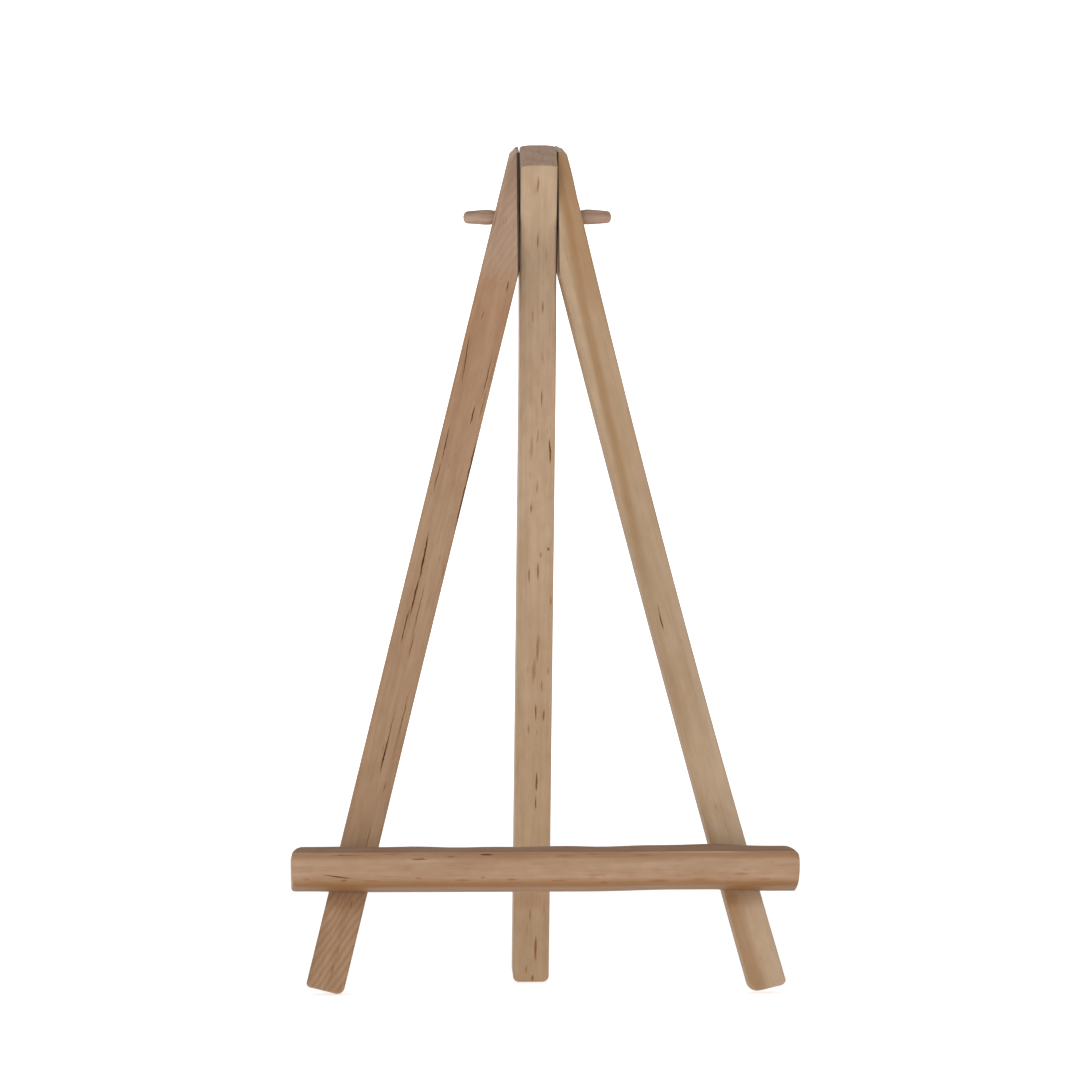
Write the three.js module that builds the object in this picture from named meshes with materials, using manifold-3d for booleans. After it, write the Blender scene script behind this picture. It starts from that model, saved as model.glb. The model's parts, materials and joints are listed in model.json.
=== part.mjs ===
// A small tabletop display easel in wood: two splayed front legs and a rear leg on one dowel,
// and a ledge across the front. Millimetres, +Z up, the front facing -Y, +X on the viewer's right.
//
// Each group is modelled standing upright around the dowel: X across, Y to the back, Z up, and the
// dowel's axis at the origin. The front frame then leans back and the rear leg swings out behind
// it until both stand on one level floor.
import * as THREE from 'three';
import { mergeVertices } from 'three/addons/utils/BufferGeometryUtils.js';
import Module from 'manifold-3d';

// Driving dimensions
const STOCK = 6.6; // side of the square stick that all three legs are cut from
const CLEARANCE = 0.25; // free space on each side of a piece that sits beside or inside another
const EASE = 0.35; // width of the sanded-off corner along every stick
const LEAN = THREE.MathUtils.degToRad(9); // front frame, leaning back
const SPLAY = THREE.MathUtils.degToRad(14.05); // each front leg, from upright
const TOP_SLANT = THREE.MathUtils.degToRad(15.5); // end cut of the legs' tops, lower at the front

const FRONT_LEG = {
  outerAtDowel: 8.05, // from the centre line to the leg's outer face, level with the dowel
  footDrop: 143.75, // from the dowel down to the foot's lowest point
  topRise: 11.3, // from the dowel up to the front of the top end
  footRound: 1.3, // corner radius of the foot
  shoulderDrop: 1.1, // how far below the top end the outer corner is cut off
};

const REAR_LEG = {
  footDrop: 147.35,
  topRise: 10.7,
  footRound: 1.1,
};

const DOWEL = {
  length: 27.3,
  shaftRadius: 1.25, // inside the legs
  bellyRadius: 1.42, // thickest place, just outside the legs
  endRadius: 1.0, // where the rounded tip begins
  tipRound: 0.6,
};

const LEDGE = {
  length: 92.7,
  topDrop: 118, // from the dowel down to the flat top
  height: 7.55,
  depth: 9,
  bevelDepth: 1.85, // planed corner between the flat top and the front
  bevelHeight: 1.5,
  shoulderDepth: 0.6, // gentler facet under it
  shoulderHeight: 1.6,
  bellyHeight: 3.3, // upright middle of the front
  underDepth: 1.6, // rounded lower front edge
  endRound: 0.7,
};

const BRAD = {
  radius: 0.5,
  length: 12,
  headRadius: 1.1,
  headHeight: 0.5,
  belowLedgeTop: 3.9,
};

const ROUND_STEPS = 28; // facets around a hole or a pin
const WOOD = { rearLeg: 0xb4987c, leftLeg: 0xa38367, rightLeg: 0xaf967a, ledge: 0xab8f74, dowel: 0xa58a76 };
const STEEL = 0x8f9092;

const wasm = await Module();
wasm.setup();

// A closed three.js geometry as a solid that can be cut.
function toSolid(geometry) {
  const bare = geometry.clone();
  bare.deleteAttribute('normal');
  bare.deleteAttribute('uv');
  const merged = mergeVertices(bare);
  return new wasm.Manifold(new wasm.Mesh({
    numProp: 3,
    vertProperties: new Float32Array(merged.attributes.position.array),
    triVerts: new Uint32Array(merged.index.array),
  }));
}

// The geometry that is left once every tool is cut out of the body.
function cut(body, ...tools) {
  let solid = toSolid(body);
  for (const tool of tools) {
    solid = solid.subtract(toSolid(tool));
  }
  const result = solid.getMesh();
  const geometry = new THREE.BufferGeometry();
  geometry.setAttribute('position', new THREE.BufferAttribute(result.vertProperties, 3));
  geometry.setIndex(new THREE.BufferAttribute(result.triVerts, 1));
  const faceted = geometry.toNonIndexed();
  faceted.computeVertexNormals();
  return faceted;
}

// A closed outline through the corners [x, y, radius], each rounded by its radius.
function roundedOutline(corners) {
  const shape = new THREE.Shape();
  corners.forEach(([x, y, radius], i) => {
    const corner = new THREE.Vector2(x, y);
    if (radius === 0) {
      i === 0 ? shape.moveTo(x, y) : shape.lineTo(x, y);
      return;
    }
    const before = new THREE.Vector2(...corners.at(i - 1)).sub(corner).setLength(radius).add(corner);
    const after = new THREE.Vector2(...corners[(i + 1) % corners.length])
      .sub(corner).setLength(radius).add(corner);
    i === 0 ? shape.moveTo(before.x, before.y) : shape.lineTo(before.x, before.y);
    shape.quadraticCurveTo(x, y, after.x, after.y);
  });
  shape.closePath();
  return shape;
}

// A stick with the given front outline (X across, Z up), STOCK deep, centred on the dowel.
function stick(outline) {
  const geometry = new THREE.ExtrudeGeometry(outline, {
    depth: STOCK - 2 * EASE,
    bevelThickness: EASE,
    bevelSize: EASE,
    bevelOffset: -EASE,
    bevelSegments: 2,
    curveSegments: 5,
  });
  geometry.translate(0, 0, EASE - STOCK / 2);
  geometry.rotateX(Math.PI / 2);
  return geometry;
}

// A round cutter or pin along X, centred at x.
function rodAlongX(radius, length, x) {
  const geometry = new THREE.CylinderGeometry(radius, radius, length, ROUND_STEPS);
  geometry.rotateZ(Math.PI / 2);
  geometry.translate(x, 0, 0);
  return geometry;
}

// A round cutter or pin along Y, from yFront to yBack.
function rodAlongY(radius, x, yFront, yBack, z) {
  const geometry = new THREE.CylinderGeometry(radius, radius, yBack - yFront, ROUND_STEPS);
  geometry.translate(x, (yFront + yBack) / 2, z);
  return geometry;
}

// A block that cuts a slanted top end: its underside meets the stick's front at the given rise.
function slantCutter(rise) {
  const size = 5 * STOCK;
  const geometry = new THREE.BoxGeometry(size, size, size);
  geometry.translate(0, 0, size / 2);
  geometry.rotateX(TOP_SLANT);
  geometry.translate(0, -STOCK / 2, rise);
  return geometry;
}

// A block that cuts the outer corner off a front leg's top end at 45 degrees.
function shoulderCutter(side) {
  const size = 3 * STOCK;
  const height = FRONT_LEG.topRise - FRONT_LEG.shoulderDrop;
  const geometry = new THREE.BoxGeometry(size, size, size);
  geometry.translate(0, 0, size / 2);
  geometry.rotateY(side * Math.PI / 4);
  geometry.translate(side * legOuter(height), 0, height);
  return geometry;
}

// Where the outer face and the centre line of a front leg are, at a height above the dowel.
const legOuter = (z) => FRONT_LEG.outerAtDowel - z * Math.tan(SPLAY);
const legCentre = (z) => legOuter(z) - STOCK / 2 / Math.cos(SPLAY);
const mitreX = STOCK / 2 + CLEARANCE;
const dowelHole = DOWEL.shaftRadius + CLEARANCE;
const bradZ = -LEDGE.topDrop - BRAD.belowLedgeTop;
const ledgeBack = -STOCK / 2 - CLEARANCE;

// The outline of a front leg, with side 1 on the right and -1 on the left.
function frontLegOutline(side) {
  const inward = STOCK / Math.cos(SPLAY);
  const footIn = legOuter(-FRONT_LEG.footDrop) - inward;
  const kneeZ = (FRONT_LEG.outerAtDowel - inward - mitreX) / Math.tan(SPLAY);
  const topZ = FRONT_LEG.topRise + STOCK * Math.tan(TOP_SLANT);
  return roundedOutline([
    [side * footIn, -FRONT_LEG.footDrop, FRONT_LEG.footRound],
    [
      side * (footIn + STOCK * Math.cos(SPLAY)),
      -FRONT_LEG.footDrop + STOCK * Math.sin(SPLAY),
      FRONT_LEG.footRound,
    ],
    [side * legOuter(topZ), topZ, 0],
    [side * mitreX, topZ, 0],
    [side * mitreX, kneeZ, 0],
  ]);
}

function frontLeg(side) {
  const bradHole = BRAD.radius + CLEARANCE;
  return cut(
    stick(frontLegOutline(side)),
    slantCutter(FRONT_LEG.topRise),
    shoulderCutter(side),
    rodAlongX(dowelHole, 4 * STOCK, side * 2 * STOCK),
    rodAlongY(bradHole, side * legCentre(bradZ), -STOCK, STOCK, bradZ),
  );
}

function rearLeg() {
  const half = STOCK / 2;
  const topZ = REAR_LEG.topRise + 2 * STOCK * Math.tan(TOP_SLANT);
  const outline = roundedOutline([
    [-half, -REAR_LEG.footDrop, REAR_LEG.footRound],
    [half, -REAR_LEG.footDrop, REAR_LEG.footRound],
    [half, topZ, 0],
    [-half, topZ, 0],
  ]);
  return cut(stick(outline), slantCutter(REAR_LEG.topRise), rodAlongX(dowelHole, 3 * STOCK, 0));
}

// The dowel bulges just outside the legs and tapers to rounded tips.
function hingeDowel() {
  const half = DOWEL.length / 2;
  const belly = FRONT_LEG.outerAtDowel + 0.35 * (half - FRONT_LEG.outerAtDowel);
  const profile = new THREE.Path();
  profile.moveTo(0, -half);
  profile.lineTo(DOWEL.endRadius - DOWEL.tipRound, -half);
  profile.quadraticCurveTo(DOWEL.endRadius, -half, DOWEL.endRadius, DOWEL.tipRound - half);
  profile.quadraticCurveTo(DOWEL.bellyRadius, -(belly + half) / 2, DOWEL.bellyRadius, -belly);
  profile.lineTo(DOWEL.shaftRadius, -FRONT_LEG.outerAtDowel - CLEARANCE);
  profile.lineTo(DOWEL.shaftRadius, FRONT_LEG.outerAtDowel + CLEARANCE);
  profile.lineTo(DOWEL.bellyRadius, belly);
  profile.quadraticCurveTo(DOWEL.bellyRadius, (belly + half) / 2, DOWEL.endRadius, half - DOWEL.tipRound);
  profile.quadraticCurveTo(DOWEL.endRadius, half, DOWEL.endRadius - DOWEL.tipRound, half);
  profile.lineTo(0, half);
  const geometry = new THREE.LatheGeometry(profile.getPoints(4), ROUND_STEPS);
  geometry.rotateZ(-Math.PI / 2);
  return geometry;
}

// The ledge's section: flat back and top, and a front planed in facets that rounds under.
function ledgeOutline() {
  const { height, depth, underDepth } = LEDGE;
  const bevelEnd = height - LEDGE.bevelHeight;
  const shoulderEnd = bevelEnd - LEDGE.shoulderHeight;
  const bevelFront = depth - LEDGE.shoulderDepth;
  const shape = new THREE.Shape();
  shape.moveTo(0, 0);
  shape.lineTo(0, height);
  shape.lineTo(bevelFront - LEDGE.bevelDepth, height);
  shape.lineTo(bevelFront, bevelEnd);
  shape.lineTo(depth, shoulderEnd);
  shape.lineTo(depth, shoulderEnd - LEDGE.bellyHeight);
  shape.quadraticCurveTo(depth, 0, depth - underDepth, 0);
  shape.closePath();
  return shape;
}

function ledge() {
  const geometry = new THREE.ExtrudeGeometry(ledgeOutline(), {
    depth: LEDGE.length - 2 * LEDGE.endRound,
    bevelThickness: LEDGE.endRound,
    bevelSize: LEDGE.endRound,
    bevelOffset: -LEDGE.endRound,
    bevelSegments: 3,
    curveSegments: 5,
  });
  geometry.translate(0, 0, LEDGE.endRound - LEDGE.length / 2);
  // The section's own axes, depth and height, become -Y and Z, and its extrusion runs along X.
  geometry.rotateX(Math.PI / 2);
  geometry.rotateZ(-Math.PI / 2);
  geometry.translate(0, ledgeBack, -LEDGE.topDrop - LEDGE.height);
  const holeDepth = BRAD.length - STOCK;
  const holes = [-1, 1].map((side) => rodAlongY(
    BRAD.radius + CLEARANCE,
    side * legCentre(bradZ),
    ledgeBack - holeDepth,
    STOCK,
    bradZ,
  ));
  return cut(geometry, ...holes);
}

// A round-headed nail along Y, its head behind the leg and its point in the ledge.
function brad(side) {
  const back = STOCK / 2 + CLEARANCE;
  const { radius, length, headRadius, headHeight } = BRAD;
  const profile = new THREE.Path();
  profile.moveTo(0, -length);
  profile.lineTo(radius, -length + 2 * radius);
  profile.lineTo(radius, 0);
  profile.lineTo(headRadius, 0);
  profile.lineTo(headRadius, headHeight / 2);
  profile.quadraticCurveTo(headRadius, headHeight, headRadius / 2, headHeight);
  profile.lineTo(0, headHeight);
  const geometry = new THREE.LatheGeometry(profile.getPoints(3), ROUND_STEPS);
  geometry.translate(side * legCentre(bradZ), back, bradZ);
  return geometry;
}

function piece(name, geometry, color, metalness = 0) {
  const material = new THREE.MeshStandardMaterial({ color, metalness, roughness: metalness ? 0.35 : 0.7 });
  const mesh = new THREE.Mesh(geometry, material);
  mesh.name = name;
  return mesh;
}

// How far the rear leg swings back from upright to stand level with a floor below the dowel.
function standingTilt(floorDrop) {
  const toe = STOCK / 2 - EASE;
  const reach = Math.hypot(REAR_LEG.footDrop, toe);
  return Math.atan2(toe, REAR_LEG.footDrop) + Math.acos(floorDrop / reach);
}

const frontFrame = new THREE.Group();
frontFrame.add(
  piece('left_leg', frontLeg(-1), WOOD.leftLeg),
  piece('right_leg', frontLeg(1), WOOD.rightLeg),
  piece('hinge_dowel', hingeDowel(), WOOD.dowel),
  piece('ledge', ledge(), WOOD.ledge),
  piece('ledge_brad_left', brad(-1), STEEL, 1),
  piece('ledge_brad_right', brad(1), STEEL, 1),
);
frontFrame.rotation.x = -LEAN;

const rearFrame = new THREE.Group();
rearFrame.add(piece('rear_leg', rearLeg(), WOOD.rearLeg));
rearFrame.rotation.x = standingTilt(-new THREE.Box3().setFromObject(frontFrame, true).min.z);

// The origin is on the floor, under the middle of the whole easel's box.
const easel = new THREE.Group();
easel.add(frontFrame, rearFrame);
const bounds = new THREE.Box3().setFromObject(easel, true);
easel.position.set(0, -(bounds.min.y + bounds.max.y) / 2, -bounds.min.z);

export default easel;
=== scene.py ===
"""The looks of a small wooden table easel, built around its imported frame.

Pieces are modelled in millimetres in a space of their own and scaled to metres when they are made.
A stick has X across it, Y to the back and Z up along it, with the dowel's centre level at Z = 0.
The ledge and the dowel also lie along their own Z, so every grain runs along Z.
"""
import json
import math
from collections import namedtuple

import bpy
import numpy as np
from mathutils import Matrix, Vector


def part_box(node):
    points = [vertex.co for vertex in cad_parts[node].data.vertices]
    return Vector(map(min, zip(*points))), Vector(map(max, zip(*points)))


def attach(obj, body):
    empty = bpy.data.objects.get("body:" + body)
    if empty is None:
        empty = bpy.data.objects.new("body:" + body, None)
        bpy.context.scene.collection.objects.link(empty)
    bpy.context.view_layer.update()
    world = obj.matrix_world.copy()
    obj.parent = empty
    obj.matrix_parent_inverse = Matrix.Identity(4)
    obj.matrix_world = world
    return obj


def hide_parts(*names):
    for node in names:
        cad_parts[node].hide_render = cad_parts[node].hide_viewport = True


MM = 0.001
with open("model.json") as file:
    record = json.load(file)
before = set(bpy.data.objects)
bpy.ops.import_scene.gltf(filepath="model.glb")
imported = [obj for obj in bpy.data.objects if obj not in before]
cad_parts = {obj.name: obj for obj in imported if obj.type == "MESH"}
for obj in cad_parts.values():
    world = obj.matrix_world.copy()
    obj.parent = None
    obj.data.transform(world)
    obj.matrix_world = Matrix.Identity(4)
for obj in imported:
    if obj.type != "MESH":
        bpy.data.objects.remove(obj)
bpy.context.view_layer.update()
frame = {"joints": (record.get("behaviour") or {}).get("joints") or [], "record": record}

# The frame's own places: the dowel's centre, the ledge's flat top and the front frame's lean
DOWEL_CENTRE = Vector(frame["joints"][0]["pos_m"])
LEDGE_NORMAL = Vector(frame["record"]["mounts"][0]["axis"])
LEDGE_POINT = Vector(frame["record"]["mounts"][0]["pos_m"])
LEAN = math.atan2(LEDGE_NORMAL.y, LEDGE_NORMAL.z)
FRONT_PLACE = Matrix.Translation(DOWEL_CENTRE) @ Matrix.Rotation(-LEAN, 4, "X")

# Driving dimensions, in millimetres and radians
STOCK = 6.6
HALF = STOCK / 2
EASE = 0.42  # sanded corner along a stick
SPLAY = math.radians(14.05)
TOP_SLANT = math.tan(math.radians(18.7))
OUTER_AT_DOWEL = 8.05
FRONT_FOOT_DROP = 143.75
REAR_FOOT_DROP = 147.35
REAR_TOP_RISE = 10.7
REAR_SHIFT = 0.1  # the rear leg stands a little nearer the right leg
REAR_BEND = 0.2  # and bends that way below the hinge
REAR_TOE = HALF - 0.35  # the part of the rear foot that meets the floor, from its centre line
DOWEL_LENGTH = 27.3
DOWEL_SHAFT = 1.25
LEDGE_LENGTH = 92.7
LEDGE_HEIGHT = 7.55
LEDGE_DEPTH = 9.0
GLUE = 0.08  # between the front legs and the ledge
BRAD_RADIUS = 0.5
BRAD_HEAD = 1.1
FRONT_RIM = 0.16  # the rounding of a leg's top end
REAR_RIM = 0.18
FOOT_FACE_ROUND = 0.55  # the rounding of a foot's edges in front and behind
MITRE_EASE = 0.14  # the corner along a mitred face
FEET_LEVELLED = 0.6  # how much of the front frame's lean the front soles are cut to
BORE_IN_FRONT_LEGS = DOWEL_SHAFT + 0.05  # radii
BORE_IN_REAR_LEG = DOWEL_SHAFT + 0.2

LEG_CENTRE = OUTER_AT_DOWEL - HALF / math.cos(SPLAY)  # a front leg's centre line at the dowel
LEG_FOOT = (FRONT_FOOT_DROP - HALF * math.sin(SPLAY)) / math.cos(SPLAY)

# A front leg: its side, its top's rise and fall, its section's width and how much narrower that is
# in the middle, its inward bow, its foot's outward flare, how far its mitred face is from the
# middle in front and behind, and its foot's roundings
Leg = namedtuple("Leg", "side rise fall width waist bow flare front back inner_round outer_round")
LEFT = Leg(
    side=-1, rise=11.45, fall=0.6, width=6.98, waist=0.1, bow=0.0, flare=0.0,
    front=3.48, back=3.34, inner_round=1.4, outer_round=0.85,
)
RIGHT = Leg(
    side=1, rise=11.65, fall=0.16, width=6.65, waist=0.5, bow=1.0, flare=0.3,
    front=3.72, back=3.59, inner_round=2.2, outer_round=0.9,
)

# How finely a stick is divided
LEVEL_STEP = 1.1  # about how many millimetres there are between its rings
FOOT_LEVELS = 11  # rings up a foot's rounding
TIP_LEVELS = 6  # rings that tip over towards a slanted end
TIP_START = 1.5  # how far under the end's lowest corner they begin
RIM_LEVELS = 7  # rings around the end's own rounding
CAP_SHARES = (0.75, 0.4)  # rings on the flat of an end, as shares of its outline
SIDE_STEPS = 10  # along each flat side of a section
CORNER_STEPS = 5  # around each of its corners
SHARP_ANGLE = math.radians(40)  # a steeper edge than this is shaded as an edge


# ---------------------------------------------------------------- camera

CAMERA_DISTANCE = 2.5
CAMERA_AZIMUTH = math.radians(-2.75)  # seen a little from the viewer's left
CAMERA_ELEVATION = math.radians(0.1)
CAMERA_ROLL = math.radians(-0.14)
VIEW_WIDTH = 0.1989  # of the picture, measured at the dowel
AIM_BELOW_DOWEL = 0.05945
AIM_RIGHT = 0.00036


def make_camera():
    data = bpy.data.cameras.new("camera")
    data.lens = data.sensor_width * CAMERA_DISTANCE / VIEW_WIDTH
    data.clip_start = 0.05
    data.clip_end = 20
    camera = bpy.data.objects.new("camera", data)
    bpy.context.scene.collection.objects.link(camera)
    target = DOWEL_CENTRE + Vector((AIM_RIGHT, 0, -AIM_BELOW_DOWEL))
    turn = Matrix.Rotation(CAMERA_AZIMUTH, 4, "Z")
    tilt = Matrix.Rotation(math.pi / 2 - CAMERA_ELEVATION, 4, "X")
    roll = Matrix.Rotation(CAMERA_ROLL, 4, "Z")
    back = Matrix.Translation((0, 0, CAMERA_DISTANCE))
    camera.matrix_world = Matrix.Translation(target) @ turn @ tilt @ back @ roll
    bpy.context.scene.camera = camera


make_camera()


# ---------------------------------------------------------------- meshes

def make_piece(name, points, faces, place, body, nodes, material):
    """A smooth-shaded piece from points in millimetres, put in the frame by its place matrix."""
    mesh = bpy.data.meshes.new(name)
    mesh.from_pydata([tuple(MM * c for c in p) for p in points], [], faces)
    mesh.validate()
    mesh.shade_smooth()
    mesh.set_sharp_from_angle(angle=SHARP_ANGLE)
    mesh.materials.append(material)
    piece = bpy.data.objects.new(name, mesh)
    bpy.context.scene.collection.objects.link(piece)
    piece.matrix_world = place
    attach(piece, body)
    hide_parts(*nodes)
    return piece


def smooth_step(value, low, high):
    share = min(max((value - low) / (high - low), 0), 1)
    return share * share * (3 - 2 * share)


def corner_inset(height, radius):
    """How far a rounded corner has come in, at a height above where its arc ends."""
    return radius - math.sqrt(max(radius ** 2 - max(radius - height, 0) ** 2, 0))


def section_ring(x0, x1, left_round, right_round):
    """Points around a stick's rounded section, anticlockwise seen from above."""
    corners = [
        (x1 - right_round, HALF - right_round, right_round, 0),
        (x0 + left_round, HALF - left_round, left_round, 90),
        (x0 + left_round, left_round - HALF, left_round, 180),
        (x1 - right_round, right_round - HALF, right_round, 270),
    ]
    ring = []
    for i, (cx, cy, radius, start) in enumerate(corners):
        for k in range(CORNER_STEPS + 1):
            angle = math.radians(start + 90 * k / CORNER_STEPS)
            ring.append((cx + radius * math.cos(angle), cy + radius * math.sin(angle)))
        nx, ny, next_radius, next_start = corners[(i + 1) % 4]
        angle = math.radians(next_start)
        after = (nx + next_radius * math.cos(angle), ny + next_radius * math.sin(angle))
        last = ring[-1]
        for k in range(1, SIDE_STEPS):
            share = k / SIDE_STEPS
            ring.append(tuple(a + (b - a) * share for a, b in zip(last, after)))
    return ring


def shrunk(ring, amount):
    """A section whose four sides have each come in by the amount."""
    low = np.min(ring, axis=0)
    high = np.max(ring, axis=0)
    middle = (low + high) / 2
    scale = 1 - amount / ((high - low) / 2)
    return [tuple(middle + (np.array(p) - middle) * scale) for p in ring]


def scaled(ring, share):
    """A ring drawn in towards its middle."""
    middle = np.mean(ring, axis=0)
    return [tuple(middle + (np.array(p) - middle) * share) for p in ring]


def loft(rings):
    """Points and faces of a closed body through rings of points, with a fan over each end."""
    size = len(rings[0])
    points = [p for ring in rings for p in ring]
    faces = []
    for level in range(len(rings) - 1):
        low = level * size
        high = low + size
        for i in range(size):
            j = (i + 1) % size
            faces.append((low + i, low + j, high + j, high + i))
    for start, turned in ((0, True), (len(points) - size, False)):
        centre = len(points)
        points.append(tuple(np.mean(points[start:start + size], axis=0)))
        for i in range(size):
            edge = (start + i, start + (i + 1) % size)
            faces.append((*(edge[::-1] if turned else edge), centre))
    return points, faces


def stick(section, foot, foot_rounds, foot_slant, top, rim):
    """Rings of a square stick along Z. section(z) gives a level's ring and top(x, y) its end.

    foot_rounds are the foot's corner radii on its left and right, foot_slant how much further
    down its front goes for each millimetre of depth, and rim the top end's rounding.
    """
    left, right = foot_rounds

    def bottom(y):
        return -foot - (HALF - y) * foot_slant

    rings = []
    tallest = max(left, right)
    for k in range(FOOT_LEVELS + 1):
        height = tallest * (1 - math.cos(math.radians(90 * k / FOOT_LEVELS)))
        ring = []
        for x, y in section(-foot + height):
            side = corner_inset(height, left if x < 0 else right) * abs(x) / HALF
            face = corner_inset(height, FOOT_FACE_ROUND) * abs(y) / HALF
            ring.append((x - math.copysign(side, x), y - math.copysign(face, y), bottom(y) + height))
        rings.append(ring)
    rings[:0] = [scaled(rings[0], share) for share in reversed(CAP_SHARES)]
    start = tallest - foot
    finish = min(top(x, y) for x in (-HALF, HALF) for y in (-HALF, HALF)) - TIP_START
    steps = int((finish - start) / LEVEL_STEP)
    for k in range(1, steps + 1):
        z = start + (finish - start) * k / steps
        rings.append([(x, y, z) for x, y in section(z)])
    reach = [top(x, y) - rim - finish for x, y in section(finish)]
    for k in range(1, TIP_LEVELS + 1):  # the levels tip over until they lie along the slanted end
        heights = [finish + rise * k / TIP_LEVELS for rise in reach]
        rings.append([(*section(z)[i], z) for i, z in enumerate(heights)])
    edge = [point[:2] for point in rings[-1]]
    for k in range(1, RIM_LEVELS + 1):
        angle = math.radians(90 * k / RIM_LEVELS)
        level = shrunk(edge, rim * (1 - math.cos(angle)))
        rings.append([(x, y, top(x, y) - rim * (1 - math.sin(angle))) for x, y in level])
    for share in CAP_SHARES:
        rings.append([(x, y, top(x, y)) for x, y in scaled(level, share)])
    return rings


def drill(piece, radius):
    """Cuts the dowel's hole through a piece, along X at the dowel's centre."""
    reach = 20 * MM  # well past both sides of the three legs
    turns = np.linspace(0, math.tau, 49)[:-1]
    rings = []
    for x in (-reach, reach):
        rings.append([(x, radius * MM * math.cos(a), radius * MM * math.sin(a)) for a in turns])
    points, faces = loft(rings)
    mesh = bpy.data.meshes.new("drill")
    mesh.from_pydata(points, [], faces)
    tool = bpy.data.objects.new("drill", mesh)
    bpy.context.scene.collection.objects.link(tool)
    tool.matrix_world = Matrix.Translation(DOWEL_CENTRE)
    cutter = piece.modifiers.new("dowel_hole", "BOOLEAN")
    cutter.operation = "DIFFERENCE"
    cutter.solver = "EXACT"
    cutter.object = tool
    bpy.context.view_layer.update()
    seen = piece.evaluated_get(bpy.context.evaluated_depsgraph_get())
    bored = bpy.data.meshes.new_from_object(seen)
    piece.modifiers.remove(cutter)
    whole = piece.data
    piece.data = bored
    bpy.data.objects.remove(tool)
    bpy.data.meshes.remove(mesh)
    bpy.data.meshes.remove(whole)


# ---------------------------------------------------------------- pieces

def leg_place(side):
    """Where a front leg's own space is: side 1 is the right leg, -1 the left."""
    across = Matrix.Translation((side * LEG_CENTRE * MM, 0, 0))
    return FRONT_PLACE @ across @ Matrix.Rotation(-side * SPLAY, 4, "Y")


def rear_place():
    """The rear leg swings back from upright until its toe is on the floor."""
    reach = math.hypot(REAR_FOOT_DROP, REAR_TOE)
    tilt = math.atan2(REAR_TOE, REAR_FOOT_DROP) + math.acos(DOWEL_CENTRE.z / MM / reach)
    return Matrix.Translation(DOWEL_CENTRE) @ Matrix.Rotation(tilt, 4, "X")


def front_leg(leg, material):
    """A splayed front leg, worked out for the right side and mirrored for the left."""
    sin, cos = math.sin(SPLAY), math.cos(SPLAY)

    def mitre(y, z):
        """Where the face beside the rear leg is: its slot closes towards the back and the top."""
        lower = smooth_step(z, 11, -1)  # 0 at the top, 1 from just under the dowel's centre
        opening = (leg.front - leg.back) * (HALF - y) / STOCK * lower
        return (leg.back + opening - LEG_CENTRE + z * sin) / cos

    def section(z):
        share = min(max(-z / LEG_FOOT, 0), 1)  # 0 at the dowel, 1 at the foot
        curve = 4 * share * (1 - share)
        spread = share + 0.8 * smooth_step(z, 1, 8)  # towards the foot, and again above the dowel
        outer = HALF - leg.bow * curve + leg.flare * spread
        inner = outer - leg.width + leg.waist * curve
        low = max(inner, mitre(HALF, z))
        crisp = EASE if low == inner else MITRE_EASE
        return section_ring(low, outer, crisp, min(EASE, (outer - low) * 0.45))

    def top(x, y):
        height = leg.rise + (y + HALF) * TOP_SLANT
        across = LEG_CENTRE + x / cos - height * sin / cos
        drop = leg.fall * max(across - HALF, 0) ** 1.6
        return (height - drop - x * sin) / cos

    rounds = (leg.inner_round, leg.outer_round)
    rings = stick(section, LEG_FOOT, rounds, FEET_LEVELLED * math.tan(LEAN), top, FRONT_RIM)
    rings = [[(max(x, mitre(y, z)), y, z) for x, y, z in ring] for ring in rings]
    points, faces = loft(rings)
    if leg.side < 0:
        points = [(-x, y, z) for x, y, z in points]
        faces = [face[::-1] for face in faces]
    name = "left_leg" if leg.side < 0 else "right_leg"
    piece = make_piece(
        f"{name}_wood", points, faces, leg_place(leg.side), "front_frame",
        [name], material,
    )
    drill(piece, BORE_IN_FRONT_LEGS)


def rear_leg(material):
    """The straight middle leg, a little wider at its head than lower down."""
    def section(z):
        half = 3.35 + 0.05 * smooth_step(z, -40, 0)
        middle = REAR_SHIFT + REAR_BEND * smooth_step(z, 0, -35)
        return section_ring(middle - half, middle + half, EASE, EASE)

    def top(x, y):
        return REAR_TOP_RISE + (y + HALF) * TOP_SLANT - 0.3 * abs((x - REAR_SHIFT) / HALF) ** 4

    points, faces = loft(stick(section, REAR_FOOT_DROP, (1.2, 1.2), 0, top, REAR_RIM))
    piece = make_piece(
        "rear_leg_wood", points, faces, rear_place(), "rear_support",
        ["rear_leg"], material,
    )
    drill(piece, BORE_IN_REAR_LEG)


def peg_radius(x):
    """The dowel's radius: a shaft in the legs, then a shoulder, a long belly and a blunt tip."""
    half = DOWEL_LENGTH / 2
    hidden = 0.25  # how much of the shoulder is inside the leg
    outside = (x - OUTER_AT_DOWEL + hidden) / (half - OUTER_AT_DOWEL + hidden)
    if outside < 0:
        return DOWEL_SHAFT
    swell = 0.16 * smooth_step(outside, 0, 0.22)
    taper = 0.28 * smooth_step(outside, 0.2, 1.05)
    tip = min((half - x) / 0.85, 1)
    return (DOWEL_SHAFT + swell - taper) * max(1 - (1 - tip) ** 2.4, 0) ** 0.5


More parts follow.
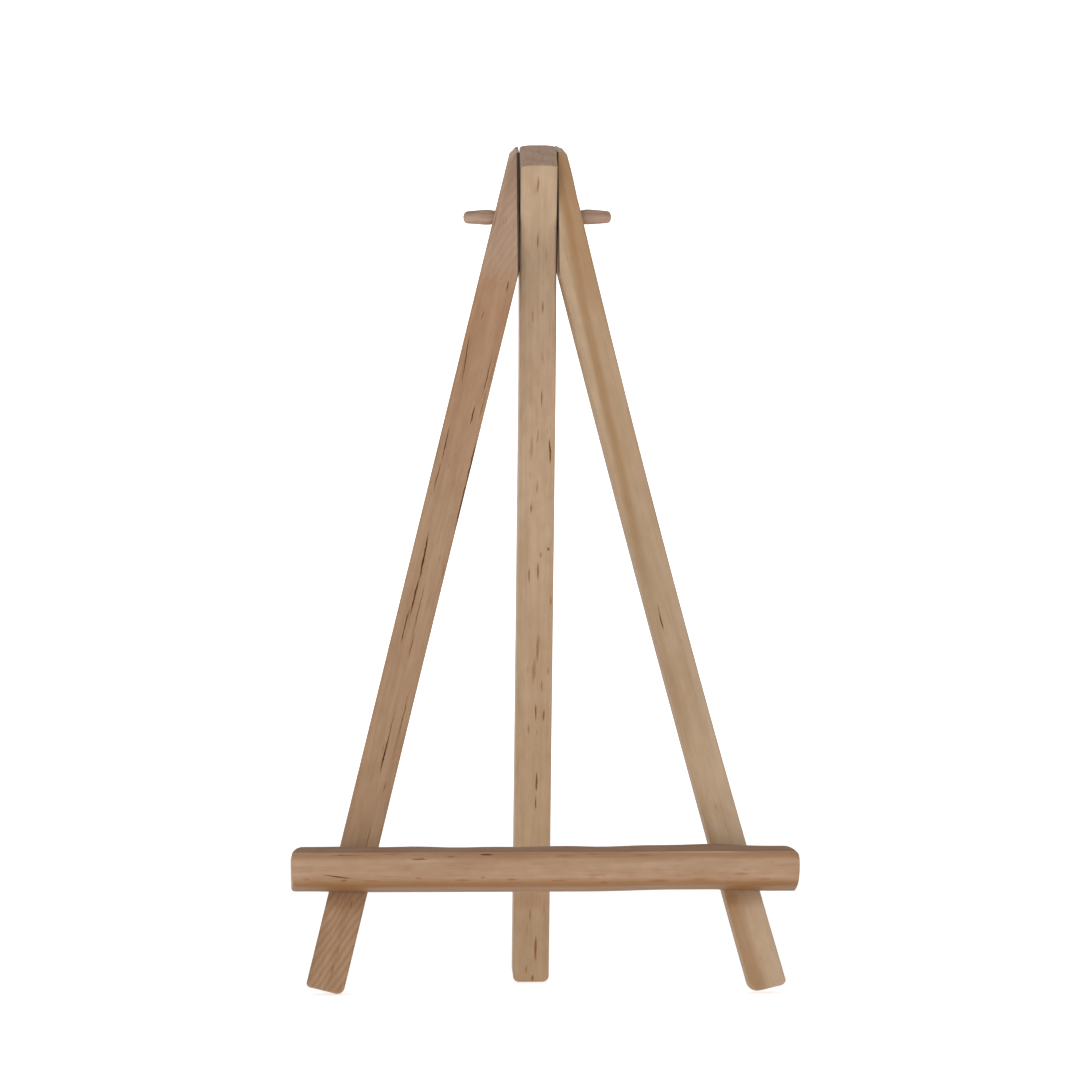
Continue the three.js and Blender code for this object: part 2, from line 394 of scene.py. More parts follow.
def hinge_dowel(material):
    """A whittled pin, a little lumpy where it shows."""
    half = DOWEL_LENGTH / 2
    sides = 40
    smallest = 0.12  # radius at the very tip
    tip = [half * (1 - (1 - k / 10) ** 2 / 32) for k in range(11)]  # closer together at its end
    places = sorted({*np.linspace(0, tip[0], 50).tolist(), *tip})
    line = [-x for x in reversed(places[1:])] + places
    rings = []
    for x in line:
        radius = max(peg_radius(abs(x)), smallest)
        lumps = smooth_step(abs(x), OUTER_AT_DOWEL, OUTER_AT_DOWEL + 1)
        ring = []
        for k in range(sides):
            angle = math.tau * k / sides
            lump = 0.018 * math.sin(3 * angle + 0.4 * x) + 0.01 * math.sin(5 * angle - 0.9 * x)
            reach = radius * (1 + lump * lumps)
            ring.append((reach * math.cos(angle), reach * math.sin(angle), x))
        rings.append(ring)
    points, faces = loft(rings)
    place = FRONT_PLACE @ Matrix.Rotation(math.pi / 2, 4, "Y")
    make_piece(
        "hinge_dowel_wood", points, faces, place, "front_frame",
        ["hinge_dowel"], material,
    )


def ledge_profile():
    """The ledge's section as (depth from the back, height) points, back edge first."""
    corners = [  # depth, height, rounding
        (0.0, 0.0, 0.4),
        (LEDGE_DEPTH - 1.9, 0.0, 0.9),
        (LEDGE_DEPTH - 0.4, 0.6, 1.0),
        (LEDGE_DEPTH, 2.0, 1.2),
        (LEDGE_DEPTH, 4.45, 0.8),
        (LEDGE_DEPTH - 0.42, 5.96, 0.22),
        (LEDGE_DEPTH - 2.4, LEDGE_HEIGHT, 0.5),
        (0.0, LEDGE_HEIGHT, 0.3),
    ]
    outline = []
    for i, (x, y, rounding) in enumerate(corners):
        corner = Vector((x, y))
        before = Vector(corners[i - 1][:2]) - corner
        after = Vector(corners[(i + 1) % len(corners)][:2]) - corner
        before = corner + before.normalized() * min(rounding, before.length * 0.48)
        after = corner + after.normalized() * min(rounding, after.length * 0.48)
        if outline:
            last = outline[-1]
            run = max(int((before - last).length / 0.35), 1)
            outline += [last.lerp(before, k / run) for k in range(1, run)]
        for k in range(7):
            share = k / 6
            outline.append(before.lerp(corner, share).lerp(corner.lerp(after, share), share))
    return outline


def ledge_end(side, height):
    """How far the ledge reaches to one side at a height: worn top corners and a full right end."""
    half, belly, top_round, low_round = LEDGE_LENGTH / 2 + 0.15, 0.2, 2.1, 0.5
    if side > 0:
        half, belly, top_round, low_round = LEDGE_LENGTH / 2 - 0.25, 0.25, 2.6, 0.1
    inset = belly * ((height - 4) / 3.5) ** 2
    inset += corner_inset(LEDGE_HEIGHT - height, top_round)
    inset += corner_inset(height, low_round)
    return half - inset


def ledge_warp(x):
    """How far the bar has bent up at a distance along it: right of its middle and at its left end."""
    right = 0.3 * smooth_step(x, 8, 24) - 0.3 * smooth_step(x, 30, 42)
    left = 0.2 * smooth_step(-x, 30, 44)
    return right + left - 0.17  # the whole bar sits a little low


def ledge(material):
    """The planed bar, its faces a little uneven along its length."""
    outline = ledge_profile()
    middle = Vector((LEDGE_DEPTH / 2, 3.6))  # what its ends close in on
    rim = 0.3  # the rounding of its ends
    steps = 80
    turns = [math.radians(15 * k) for k in range(1, 7)]
    cap = [(1 - rim / 4 * (1 - math.cos(a)), 1 - math.sin(a)) for a in turns]
    cap += [(scale, 0) for scale in (0.85, 0.7, 0.55, 0.4, 0.25, 0.1)]
    levels = [(-1, *end) for end in reversed(cap)]  # share of the length, scale, and rim left
    levels += [(2 * k / steps - 1, 1, 1) for k in range(steps + 1)]
    levels += [(1, *end) for end in cap]
    rings = []
    for share, scale, left in levels:
        ring = []
        for point in outline:
            depth, height = middle + (point - middle) * scale
            x = share * (ledge_end(share, height) - rim * left)
            wave = 0.06 * math.sin(0.21 * x + 1) + 0.05 * math.sin(0.47 * x)
            height += wave * smooth_step(height, 4, LEDGE_HEIGHT) + ledge_warp(x)
            depth += 0.05 * math.sin(0.3 * x + 2) * smooth_step(depth, 4, LEDGE_DEPTH)
            ring.append((-height, -depth, x))
        rings.append(ring)
    points, faces = loft(rings)
    drop = (FRONT_PLACE.inverted() @ LEDGE_POINT).z / MM
    lift = Matrix.Translation((0, -(HALF + GLUE) * MM, (drop - LEDGE_HEIGHT) * MM))
    place = FRONT_PLACE @ lift @ Matrix.Rotation(math.pi / 2, 4, "Y")
    make_piece(
        "ledge_wood", points, faces, place, "front_frame", ["ledge"], material,
    )


def brad(side, material):
    """The domed head of a nail behind each leg, with its shank going in."""
    node = f"ledge_brad_{'left' if side < 0 else 'right'}"
    low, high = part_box(node)
    height = (FRONT_PLACE.inverted() @ LEDGE_POINT).z - LEDGE_HEIGHT / 2 * MM
    # Radius, and distance behind the leg's back face
    profile = [(0.35, 0.51), (0.7, 0.44), (0.95, 0.3), (BRAD_HEAD, 0.12), (BRAD_HEAD, 0.02)]
    profile += [(BRAD_HEAD - 0.12, -0.04), (BRAD_RADIUS, -0.04), (BRAD_RADIUS, -10.5), (0.05, -11.8)]
    turns = np.linspace(0, math.tau, 33)[:-1]
    rings = [[(r * math.cos(a), y, r * math.sin(a)) for a in turns] for r, y in profile]
    points, faces = loft(rings)
    place = FRONT_PLACE @ Matrix.Translation(((low.x + high.x) / 2, HALF * MM, height))
    make_piece(
        f"{node}_steel", points, faces, place, "front_frame", [node], material,
    )


# ---------------------------------------------------------------- materials

class Shader:
    """Builds a material's nodes. A value may be a number, a colour, a vector or a node's output."""

    def __init__(self, name):
        self.material = bpy.data.materials.new(name)
        self.material.use_nodes = True
        self.tree = self.material.node_tree
        self.surface = self.tree.nodes["Principled BSDF"]

    def node(self, kind, values=(), output=0, **settings):
        node = self.tree.nodes.new("ShaderNode" + kind)
        for key, value in settings.items():
            setattr(node, key, value)
        for key, value in dict(values).items():
            self.feed(node.inputs[key], value)
        return node.outputs[output]

    def feed(self, socket, value):
        if isinstance(value, bpy.types.NodeSocket):
            self.tree.links.new(value, socket)
        else:
            socket.default_value = value

    def math(self, operation, *values):
        return self.node("Math", enumerate(values), operation=operation)

    def vector(self, operation, *values, output=0):
        return self.node("VectorMath", enumerate(values), output, operation=operation)

    def add(self, *values):
        total = values[0]
        for value in values[1:]:
            total = self.math("ADD", total, value)
        return total

    def times(self, *values):
        product = values[0]
        for value in values[1:]:
            product = self.math("MULTIPLY", product, value)
        return product

    def noise(self, coords, x, y, z, detail=2.0, roughness=0.5, output=0):
        stretched = self.vector("MULTIPLY", coords, (x, y, z))
        values = {"Vector": stretched, "Scale": 1.0, "Detail": detail, "Roughness": roughness}
        return self.node("TexNoise", values, output)

    def wander(self, coords, x, y, z, reach):
        """A point moved about by smooth noise, up to about half of reach each way."""
        drift = self.vector("SUBTRACT", self.noise(coords, x, y, z, output=1), (0.5, 0.5, 0.5))
        return self.vector("ADD", coords, self.vector("MULTIPLY", drift, reach))

    def step(self, value, low, high, to_low=0.0, to_high=1.0):
        values = {"Value": value, "From Min": low, "From Max": high, "To Min": to_low, "To Max": to_high}
        return self.node("MapRange", values, interpolation_type="SMOOTHSTEP")

    def mix(self, share, first, second, blend="MIX"):
        node = self.tree.nodes.new("ShaderNodeMix")
        node.data_type = "RGBA"
        node.blend_type = blend
        self.feed(node.inputs[0], share)
        self.feed(node.inputs[6], first)
        self.feed(node.inputs[7], second)
        return node.outputs[2]

    def split(self, vector):
        parts = self.tree.nodes.new("ShaderNodeSeparateXYZ")
        self.feed(parts.inputs[0], vector)
        return parts.outputs


def linear(red, green, blue):
    """A screen colour, 0 to 255, as the linear colour that shaders take."""
    def channel(value):
        value /= 255
        return value / 12.92 if value <= 0.04045 else ((value + 0.055) / 1.055) ** 2.4
    return channel(red), channel(green), channel(blue), 1.0


# A place on a piece in millimetres, the same moved away by the piece's seed, and its coordinates
Point = namedtuple("Point", "coords shifted x y z")
STICK_FOOT = -147.0  # about where a stick's own Z ends
# also the colour of the painted shade under the ledge
FLECK_AND_SHADE_BROWN = linear(136, 90, 50)
CHECK_BROWN = linear(64, 34, 18)


def marks_and_shade(shader, point, face, places):
    """How much a point lies in one of the marks on a face, at y = face. Some of them are painted shade
    under the ledge.

    Each has a place across and along, a half width, a half length, a strength, and sometimes how
    far it leans, in radians. They go about a millimetre deep.
    """
    depth = 1.2
    outermost = 1.35  # where a mark has faded away, in half widths
    rough = shader.wander(point.coords, 1.2, 1.2, 0.6, (0.42, 0.0, 0.9))
    total = 0.0
    for x, z, half_width, half_length, strength, *lean in places:
        values = {"Vector": rough, "Location": (x, face, z), "Scale": (half_width, depth, half_length)}
        values["Rotation"] = (0.0, lean[0] if lean else 0.0, 0.0)
        inside = shader.node("Mapping", values, vector_type="TEXTURE")
        distance = shader.vector("LENGTH", inside, output=1)
        core = 0.1 + 0.6 * strength  # a faint mark is also a soft one
        total = shader.math("MAXIMUM", shader.step(distance, outermost, core, 0.0, strength), total)
    return total


def growth_rings(shader, point, pith, width):
    """Late wood's darker lines, circling the pith."""
    grain = shader.wander(point.shifted, 0.09, 0.09, 0.018, (3.0, 3.0, 0.0))
    grain = shader.vector("ADD", shader.vector("SUBTRACT", grain, point.shifted), point.coords)
    away = shader.vector("MULTIPLY", shader.vector("SUBTRACT", grain, pith), (1.0, 1.0, 0.05))
    radius = shader.vector("LENGTH", away, output=1)
    ring = shader.math("FRACT", shader.math("DIVIDE", radius, width))
    return shader.times(shader.step(ring, 0.3, 0.95), shader.step(ring, 1.0, 0.97))


def end_colour(shader, point, colour, pith, width):
    """Darker, duller end grain wherever a face looks along the grain."""
    facing = shader.math("ABSOLUTE", shader.split(shader.node("TexCoord", output=1))[2])
    speckle = shader.noise(point.shifted, 1.5, 1.5, 0.3, 4.0, 0.65)
    late = growth_rings(shader, point, pith, width)
    tone = shader.add(shader.step(speckle, 0.2, 0.8), shader.times(late, -0.15))
    end = shader.mix(tone, linear(150, 124, 106), linear(178, 151, 132))
    return shader.mix(shader.step(facing, 0.75, 0.93, 0.0, 0.9), colour, end)


def wood(name, pale, dark, pith, ring_width, ring_share, seed, face=-HALF, places=(), figure_and_shade=None):
    """Sanded bare wood: rings, blotches and fibres, the piece's own figure and marks, with painted light
    and shade among them, and pores.
    """
    shader = Shader(name)
    metres = shader.node("TexCoord", output=3)
    coords = shader.vector("MULTIPLY", metres, (1 / MM, 1 / MM, 1 / MM))
    shifted = shader.vector("ADD", coords, (seed, seed * 1.7, seed * 2.3))
    point = Point(coords, shifted, *shader.split(coords))

    blotch = shader.noise(shifted, 0.3, 0.3, 0.06, 3.0, 0.6)
    cloud = shader.noise(shifted, 0.75, 0.75, 0.33, 2.0, 0.5)
    fibre = shader.noise(shifted, 5.5, 5.5, 0.2, 3.0, 0.65)
    streak = shader.noise(shifted, 1.5, 1.5, 0.035, 2.0, 0.6)
    pore = shader.step(shader.noise(shifted, 7.0, 7.0, 0.9, 1.0), 0.66, 0.75)
    late = growth_rings(shader, point, pith, ring_width)
    tone = shader.add(
        0.28,
        shader.times(late, ring_share),
        shader.step(blotch, 0.3, 0.7, -0.22, 0.22),
        shader.step(cloud, 0.3, 0.7, -0.12, 0.12),
        shader.step(fibre, 0.25, 0.75, -0.1, 0.1),
        shader.step(streak, 0.3, 0.7, -0.14, 0.14),
    )
    colour = shader.mix(tone, pale, dark)
    if figure_and_shade:
        colour = figure_and_shade(shader, point, colour)
    dash = shader.step(shader.noise(shifted, 1.9, 1.9, 0.28, 1.0), 0.7, 0.8, 0.0, 0.3)
    # the marks include painted shade under the ledge
    mark_and_shade = shader.math("MAXIMUM", dash, marks_and_shade(shader, point, face, places))
    colour = shader.mix(shader.step(mark_and_shade, 0.0, 0.7), colour, FLECK_AND_SHADE_BROWN)
    colour = shader.mix(shader.step(mark_and_shade, 0.45, 0.95, 0.0, 0.95), colour, CHECK_BROWN)
    colour = shader.mix(shader.times(pore, 0.2), colour, FLECK_AND_SHADE_BROWN)
    colour = end_colour(shader, point, colour, pith, ring_width)

    relief = shader.add(shader.times(fibre, 0.4), shader.times(pore, -0.6), shader.times(mark_and_shade, -0.4))
    bump = shader.node("Bump", {"Strength": 0.25, "Distance": 0.0001, "Height": relief})
    shader.feed(shader.surface.inputs["Base Color"], colour)
    rough = shader.add(shader.step(fibre, 0.2, 0.8, 0.5, 0.66), shader.times(mark_and_shade, 0.3))
    shader.feed(shader.surface.inputs["Roughness"], rough)
    shader.feed(shader.surface.inputs["Normal"], bump)
    shader.surface.inputs["Specular IOR Level"].default_value = 0.3
    return shader.material


def shade_towards_foot(shader, point, colour, shade_tint, start):
    """A painted shade: the colour deepens from a height on the stick down to its foot."""
    return shader.mix(shader.step(point.z, start, STICK_FOOT), colour, shade_tint, "MULTIPLY")


def mitre_gap_shade(shader, point, colour, side):
    """A painted shade: a near-black line along the front of the mitred face, which deepens the gap
    beside the rear leg."""
    across = shader.times(point.x, side * math.cos(SPLAY))
    from_middle = shader.add(across, shader.times(point.z, -math.sin(SPLAY)), LEG_CENTRE)
    # painted shade: near-black at the front of the mitred face, where the gap beside the rear leg is
    line = shader.times(shader.step(from_middle, 3.92, 3.8), shader.step(point.y, -1.5, -2.8))
    return shader.mix(shader.times(line, 0.93), colour, linear(38, 26, 20))


def left_figure_and_shade(shader, point, colour):
    """Ribs that cross the grain at a slant near both ends, a paler head, a brown tinge below it, a
    warmer tone towards the foot that is painted shade, and the painted shade along the mitred face."""
    slant = shader.add(shader.times(point.x, 0.94), shader.times(point.z, -0.36))
    sway = shader.noise(point.shifted, 0.3, 0.3, 0.08)
    phase = shader.add(shader.math("DIVIDE", slant, 1.1), shader.times(sway, 1.4))
    ribs = shader.step(shader.math("SINE", shader.times(phase, math.tau)), -1, 1)
    foot = shader.step(point.z, -118, -128, 0.0, 0.42)
    head = shader.step(point.z, -20, -6, 0.0, 0.28)
    share = shader.times(ribs, shader.math("MAXIMUM", foot, head))
    colour = shader.mix(share, colour, linear(126, 92, 64))
    colour = shader.mix(shader.step(point.z, -16, -6, 0.0, 0.25), colour, linear(176, 152, 138))
    # painted shade towards the foot
    colour = shade_towards_foot(shader, point, colour, (0.98, 0.95, 0.9, 1.0), start=-20.0)
    knee = shader.times(shader.step(point.z, -60, -20), shader.step(point.z, -8, -15))
    colour = shader.mix(shader.times(knee, 0.22), colour, linear(154, 98, 62))
    return mitre_gap_shade(shader, point, colour, -1)


def right_figure_and_shade(shader, point, colour):
    """A brown band of late wood drifts across the leg: it is the outer side at the top, a line further
    down, and the inner side of the foot. The middle of the leg is duller, and the outer side of its
    lower half is paler. The mitred face carries a painted shade along its front."""
    rise = shader.math("MAXIMUM", shader.add(point.z, 18.0), 0.0)
    line = shader.add(-0.15, shader.times(point.z, 0.036), shader.times(rise, 0.035))
    outside = shader.math("SUBTRACT", point.x, line)
    near = shader.step(shader.math("ABSOLUTE", outside), 1.4, 0.2)
    band = shader.times(near, shader.step(point.z, -95, -50, 0.0, 0.5))
    colour = shader.mix(band, colour, linear(136, 96, 46))
    beyond = shader.step(outside, -0.8, 0.6)
    upper = shader.step(point.z, -24, -6, 0.12, 0.5)
    middle = shader.step(point.z, -80, -40)
    colour = shader.mix(shader.times(beyond, upper, middle), colour, linear(145, 101, 55))
    dull = shader.times(shader.step(point.z, -45, -65), shader.step(point.z, -108, -95))
    colour = shader.mix(dull, colour, (0.93, 0.93, 0.925, 1.0), "MULTIPLY")
    # paler on the outer side of the lower half
    paler_outside = shader.times(shader.step(point.x, 0.0, 3.2), shader.step(point.z, -50, -80, 0.0, 0.4))
    colour = shader.mix(paler_outside, colour, linear(184, 162, 140))
    edge = shader.add(-0.6, shader.times(shader.add(point.z, 140.0), -0.077))
    inner = shader.step(shader.math("SUBTRACT", point.x, edge), 1.0, -1.0, 0.0, 0.58)
    lower = shader.step(point.z, -104, -120)
    colour = shader.mix(shader.times(inner, lower), colour, linear(142, 104, 66))
    # painted shade along the mitred face
    return mitre_gap_shade(shader, point, colour, 1)


def rear_painted_shade(shader, point, colour):
    """Painted shade that deepens towards the foot, a little painted shade at the head, and near-black
    painted shade on the cheeks inside the slot."""
    # painted shade on the cheeks inside the slot, standing in for the shadow of the gap
    slot_shade = shader.step(shader.math("ABSOLUTE", shader.add(point.x, -REAR_SHIFT)), 3.28, 3.36)
    slot_shade = shader.times(slot_shade, shader.step(point.z, -32, -16), shader.step(point.y, 3.3, -1.5))
    colour = shader.mix(shader.times(slot_shade, 0.55), colour, linear(58, 40, 28))
    # painted shade at the head, against the light that falls brighter there
    head = shader.step(point.z, -20, 2)
    colour = shader.mix(head, colour, (0.93, 0.93, 0.92, 1.0), "MULTIPLY")
    # painted shade towards the foot
    return shade_towards_foot(shader, point, colour, (0.86, 0.81, 0.73, 1.0), start=-32.0)


def ledge_figure_and_light(shader, point, colour):
    """A painted shade on the bevel along the top, a painted highlight on the edge under it, a brown
    shoulder below that, partly the wood's own colour and partly painted shade, and a redder lower edge
    whose underside is darkened with painted shade."""
    height = shader.math("MULTIPLY", point.x, -1.0)
    patches = shader.step(shader.noise(point.shifted, 0.5, 0.5, 0.14), 0.3, 0.65, 0.35, 1.0)
    low = shader.times(shader.step(height, 2.6, 0.5, 0.0, 0.22), patches)
    colour = shader.mix(low, colour, linear(142, 96, 62))
    # redder wood, with painted shade on the underside against the light from the floor
    underside_colour_and_shade = shader.step(height, 1.4, 0.0, 0.0, 0.8)
    colour = shader.mix(underside_colour_and_shade, colour, linear(128, 84, 34))
    # the shoulder's brown is partly the wood's colour and partly painted shade
    shoulder_colour_and_shade = shader.times(shader.step(height, 4.5, 5.3), shader.step(height, 6.0, 5.8, 0.0, 0.65))
    colour = shader.mix(shoulder_colour_and_shade, colour, linear(150, 108, 74))
    # painted highlight along the edge under the bevel
    crisp = shader.step(shader.math("ABSOLUTE", shader.math("SUBTRACT", height, 5.96)), 0.16, 0.05)
    colour = shader.mix(shader.times(crisp, 0.2), colour, linear(214, 186, 158))
    # painted shade on the bevel along the top
    bevel_shade = shader.step(height, 6.0, 6.12, 0.0, 0.5)
    return shader.mix(bevel_shade, colour, linear(108, 80, 62))


def steel():
    shader = Shader("brad_steel")
    coords = shader.node("TexCoord", output=3)
    scuff = shader.noise(coords, 4000, 900, 4000, 3.0, 0.6)
    colour = shader.mix(scuff, linear(118, 116, 112), linear(176, 175, 172))
    shader.feed(shader.surface.inputs["Base Color"], colour)
    shader.feed(shader.surface.inputs["Roughness"], shader.step(scuff, 0.2, 0.8, 0.28, 0.5))
    shader.surface.inputs["Metallic"].default_value = 1.0
    return shader.material


# Marks by piece: across, along, half width, half length, strength, and sometimes a lean.
# Most are short checks and flecks. The broad ones are stains, and painted shade under the ledge.
REAR_MARKS_AND_SHADE = [
    (-0.1, 7.0, 0.2, 1.9, 0.5),
    (-0.5, 6.4, 0.5, 1.7, 0.2),
    (0.0, -3.6, 0.17, 1.5, 0.55),
    (1.6, -6.4, 0.3, 1.8, 0.28),
    (1.0, -16.3, 0.22, 1.4, 0.45),
    (-0.8, -18.1, 0.24, 1.6, 0.32),
    (1.0, -33.8, 0.17, 1.8, 0.5),
    (0.4, -41.0, 0.2, 1.6, 0.4, 0.08),
    (-0.7, -43.3, 0.32, 2.6, 0.35),
    (2.7, -43.9, 0.17, 2.4, 0.75, -0.06),
    (-0.9, -48.4, 0.25, 1.2, 0.25),
    (0.4, -50.8, 0.24, 1.6, 0.35),
    (-0.7, -54.9, 0.2, 1.2, 0.5),
    (2.6, -62.7, 0.3, 0.4, 0.6),
    (1.2, -63.9, 0.3, 0.6, 0.4),
    (0.7, -67.1, 0.18, 1.8, 0.6),
    (-0.9, -68.0, 0.2, 1.5, 0.5),
    (3.2, -72.7, 0.15, 1.0, 0.5),
    (1.0, -80.6, 0.2, 1.6, 0.4),
    (0.8, -82.4, 0.26, 2.6, 0.45),
    (0.2, -86.2, 0.45, 2.8, 0.4, 0.08),
    (-1.0, -86.1, 0.3, 1.2, 0.25),
    (2.8, -86.4, 0.14, 0.8, 0.55),
    (1.7, -89.3, 0.2, 1.2, 0.45),
    (0.6, -94.3, 0.2, 1.6, 0.6),
    (2.1, -95.1, 0.2, 1.3, 0.55),
    (-0.7, -97.6, 0.22, 1.4, 0.4),
    (0.9, -107.9, 0.2, 1.8, 0.7),
    (0.8, -112.1, 0.18, 1.4, 0.65),
    (0.0, -133.9, 0.25, 1.3, 0.45),
    (2.5, -132.4, 0.3, 2.2, 0.3),
    (1.1, -140.6, 0.26, 2.6, 0.6),
    (-0.6, -144.8, 0.24, 1.0, 0.4),
    (0.6, -146.4, 0.24, 0.8, 0.55),
    (0.0, -131.0, 5.0, 2.6, 0.25),  # shade under the ledge
]
LEFT_MARKS_AND_SHADE = [
    (-2.85, -1.6, 0.12, 2.2, 0.5),
    (2.15, -13.3, 0.14, 1.1, 0.75),
    (-1.0, -19.6, 0.11, 0.9, 0.6),
    (1.55, -38.2, 0.13, 1.7, 0.9),
    (-2.1, -28.6, 0.1, 4.6, 0.8, -0.08),
    (2.5, -30.4, 0.1, 4.4, 0.75),
    (-2.0, -44.6, 0.11, 3.2, 0.85),
    (-2.05, -50.9, 0.1, 3.2, 0.75),
    (3.2, -29.5, 0.08, 3.6, 0.5),
    (2.9, -36.0, 0.1, 2.6, 0.6),
    (3.4, -47.2, 0.14, 4.6, 0.85),
    (3.4, -54.7, 0.14, 4.5, 0.9),
    (3.1, -67.7, 0.14, 1.4, 0.5),
    (-0.92, -66.0, 0.15, 4.2, 1.0, -0.04),
    (-0.86, -73.5, 0.15, 3.9, 0.85),
    (-1.28, -79.3, 0.13, 3.3, 0.85),
    (0.45, -75.5, 0.1, 5.4, 0.65),
    (0.7, -82.5, 0.1, 2.4, 0.65),
    (2.3, -96.2, 0.1, 5.6, 0.65),
    (0.65, -97.9, 0.1, 3.0, 0.6),
    (0.62, -102.7, 0.13, 4.0, 0.95),
    (0.1, -102.1, 0.09, 1.1, 0.5),
    (2.1, -109.0, 0.1, 1.4, 0.6),
    (1.35, -119.0, 0.12, 2.6, 0.55),
    (1.2, -131.5, 0.2, 1.2, 0.55),
    (0.85, -140.3, 0.22, 1.1, 0.4),
    (0.75, -143.9, 0.22, 0.9, 0.45),
    (0.0, -131.7, 5.0, 2.2, 0.22),  # shade under the ledge
]
RIGHT_MARKS_AND_SHADE = [
    (-1.6, -75.6, 0.13, 1.4, 0.5),
    (-1.75, -77.8, 0.14, 1.6, 0.8),
    (-2.6, -92.0, 1.4, 14.0, 0.24),  # a long faint stain
    # a stain, with painted shade under the ledge at the inner edge
    (-2.2, -130.6, 2.0, 1.8, 0.35),
    (0.0, -131.0, 5.0, 2.2, 0.2),  # shade under the ledge
]
LEDGE_MARKS = [
    (-5.5, -36.4, 0.07, 3.2, 0.7),
    (-5.75, -28.0, 0.07, 2.6, 0.55),
    (-5.6, 8.4, 0.1, 1.2, 0.5),
    (-0.9, -15.5, 0.3, 1.6, 0.4),
    (-0.7, -41.5, 0.2, 1.4, 0.4),
    (-0.8, 2.0, 0.2, 1.8, 0.4),
    (-0.7, 20.5, 0.25, 2.4, 0.4),
    (-0.9, 39.5, 0.3, 1.6, 0.35),
    (-4.8, -23.2, 0.14, 1.9, 0.65),
    (-5.3, -17.4, 0.15, 0.8, 0.5),
    (-1.6, -38.2, 0.12, 2.7, 0.85, 0.12),
    (-0.95, -37.0, 0.2, 0.6, 0.6),
    (-0.85, -32.0, 0.14, 1.8, 0.5),
    (-1.2, -23.4, 0.17, 0.6, 0.5),
    (-1.1, -43.9, 0.3, 0.8, 0.35),
    (-5.6, -11.0, 0.2, 1.3, 0.8),
    (-5.3, 3.6, 0.3, 2.4, 0.35),
    (-1.4, -11.6, 0.25, 0.6, 0.4),
    (-1.0, -6.4, 0.2, 1.1, 0.5),
    (-0.4, 10.4, 0.25, 1.2, 0.6),
    (-1.8, 9.0, 0.35, 2.6, 0.3),
    (-1.8, 35.4, 0.35, 1.7, 0.35),
    (-0.9, 28.0, 0.35, 1.9, 0.35),
    (-5.4, 17.5, 0.3, 2.2, 0.3),
]


def make_pieces():
    left = wood(
        "left_leg_wood", linear(163, 132, 103), linear(142, 108, 80), (14.0, 16.0, 0.0), 2.1, 0.2,
        3.1, places=LEFT_MARKS_AND_SHADE, figure_and_shade=left_figure_and_shade,
    )
    right = wood(
        "right_leg_wood", linear(176, 149, 120), linear(158, 128, 97), (-16.0, 22.0, 0.0), 3.4, 0.1,
        11.7, places=RIGHT_MARKS_AND_SHADE, figure_and_shade=right_figure_and_shade,
    )
    rear = wood(
        "rear_leg_wood", linear(181, 155, 128), linear(160, 131, 101), (9.0, 24.0, 0.0), 2.8, 0.1,
        7.4, places=REAR_MARKS_AND_SHADE, figure_and_shade=rear_painted_shade,
    )
    bar = wood(
        "ledge_wood", linear(173, 142, 114), linear(148, 112, 81), (-6.0, 22.0, 0.0), 2.6, 0.12,
        19.2, face=-LEDGE_DEPTH, places=LEDGE_MARKS, figure_and_shade=ledge_figure_and_light,
    )
    pin = wood(
        "dowel_wood", linear(171, 145, 126), linear(138, 106, 85), (5.0, 3.0, 0.0), 1.4, 0.3, 23.5,
    )
    front_leg(LEFT, left)
    front_leg(RIGHT, right)
    rear_leg(rear)
    ledge(bar)
    hinge_dowel(pin)
    metal = steel()
    for side in (-1, 1):
        brad(side, metal)


make_pieces()


# ---------------------------------------------------------------- stage and light

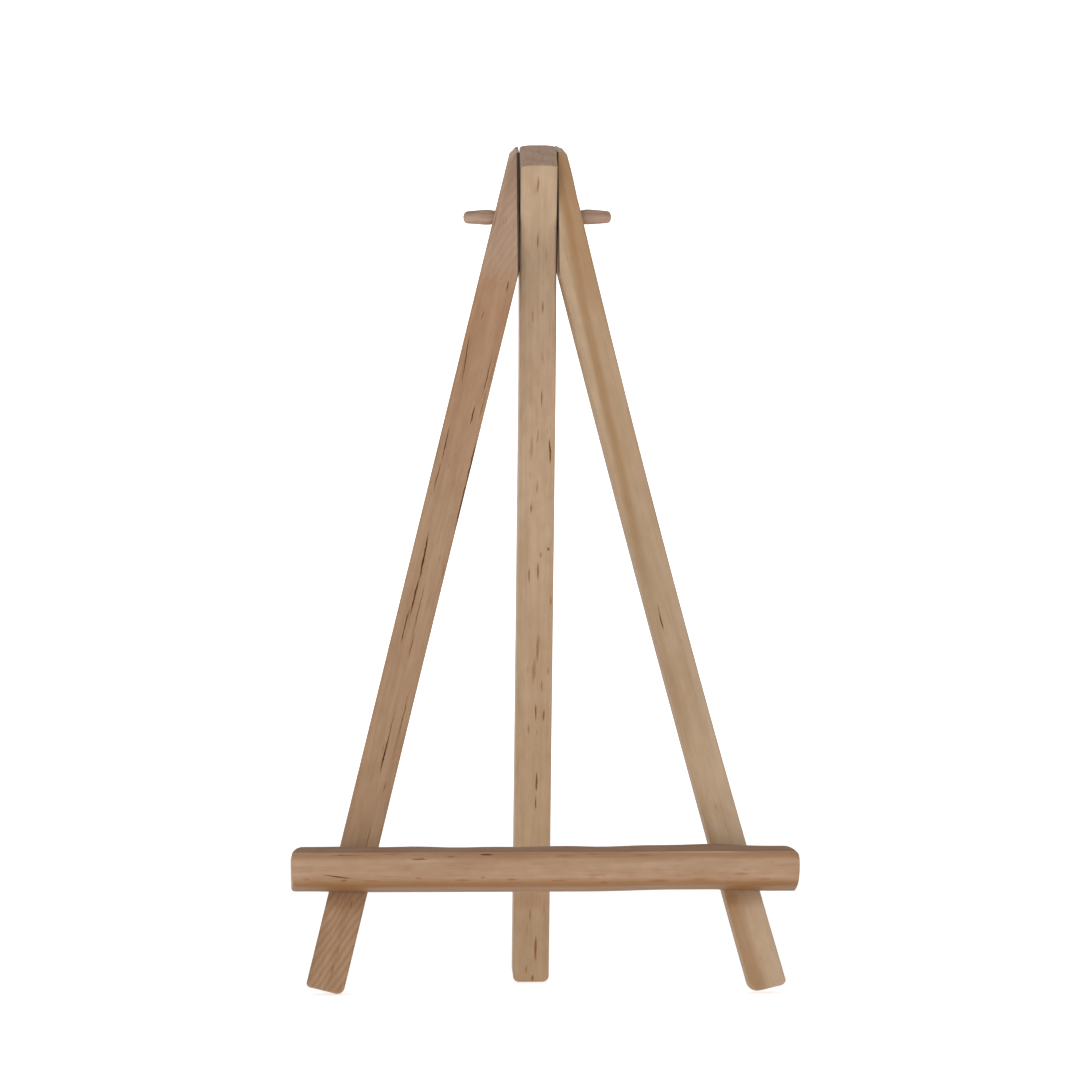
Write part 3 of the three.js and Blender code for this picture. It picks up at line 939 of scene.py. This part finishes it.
def backdrop():
    """One pale sheet, big enough to stand outside: a floor that curves up into a wall behind.

    It glows, and more so further away, where the lights hardly reach it.
    """
    width, front, bend, height, radius = 6.0, -6.0, 2.8, 4.2, 1.2
    line = [(front, 0.0), (-1.5, 0.0), (0.0, 0.0), (1.5, 0.0), (bend, 0.0)]
    for k in range(1, 17):
        angle = math.radians(90 * k / 16)
        line.append((bend + radius * math.sin(angle), radius * (1 - math.cos(angle))))
    line.append((bend + radius, height))
    points = [(side * width, y, z) for y, z in line for side in (-1, 1)]
    faces = [(2 * k, 2 * k + 1, 2 * k + 3, 2 * k + 2) for k in range(len(line) - 1)]
    mesh = bpy.data.meshes.new("backdrop")
    mesh.from_pydata(points, [], faces)
    mesh.shade_smooth()
    shader = Shader("backdrop_paper")
    away = shader.vector("LENGTH", shader.node("TexCoord", output=3), output=1)
    shader.feed(shader.surface.inputs["Emission Strength"], shader.step(away, 0.3, 3.2, 0.52, 0.97))
    shader.surface.inputs["Emission Color"].default_value = (1.0, 1.0, 1.0, 1.0)
    shader.surface.inputs["Base Color"].default_value = (0.9, 0.9, 0.9, 1.0)
    shader.surface.inputs["Roughness"].default_value = 0.9
    shader.surface.inputs["Specular IOR Level"].default_value = 0.0
    mesh.materials.append(shader.material)
    sheet = bpy.data.objects.new("backdrop", mesh)
    bpy.context.scene.collection.objects.link(sheet)


def softbox(name, place, aim, size, power):
    data = bpy.data.lights.new(name, "AREA")
    data.shape = "RECTANGLE"
    data.size, data.size_y = size
    data.energy = power
    light = bpy.data.objects.new(name, data)
    bpy.context.scene.collection.objects.link(light)
    light.location = place
    light.rotation_euler = (Vector(aim) - Vector(place)).to_track_quat("-Z", "Y").to_euler()


def make_light():
    backdrop()
    centre = (0, 0, 0.08)
    softbox("front_softbox", (-0.25, -1.6, 0.65), centre, (1.3, 0.9), 12.45)
    softbox("left_fill", (-1.5, -0.7, 0.6), centre, (0.8, 0.8), 3)
    softbox("right_fill", (1.5, -0.6, 0.5), centre, (0.8, 0.8), 3)
    world = bpy.data.worlds.new("studio")
    world.use_nodes = True
    background = world.node_tree.nodes["Background"]
    background.inputs["Color"].default_value = (1.0, 1.0, 1.0, 1.0)
    background.inputs["Strength"].default_value = 0.3
    bpy.context.scene.world = world
    bpy.context.scene.view_settings.view_transform = "Standard"


make_light()
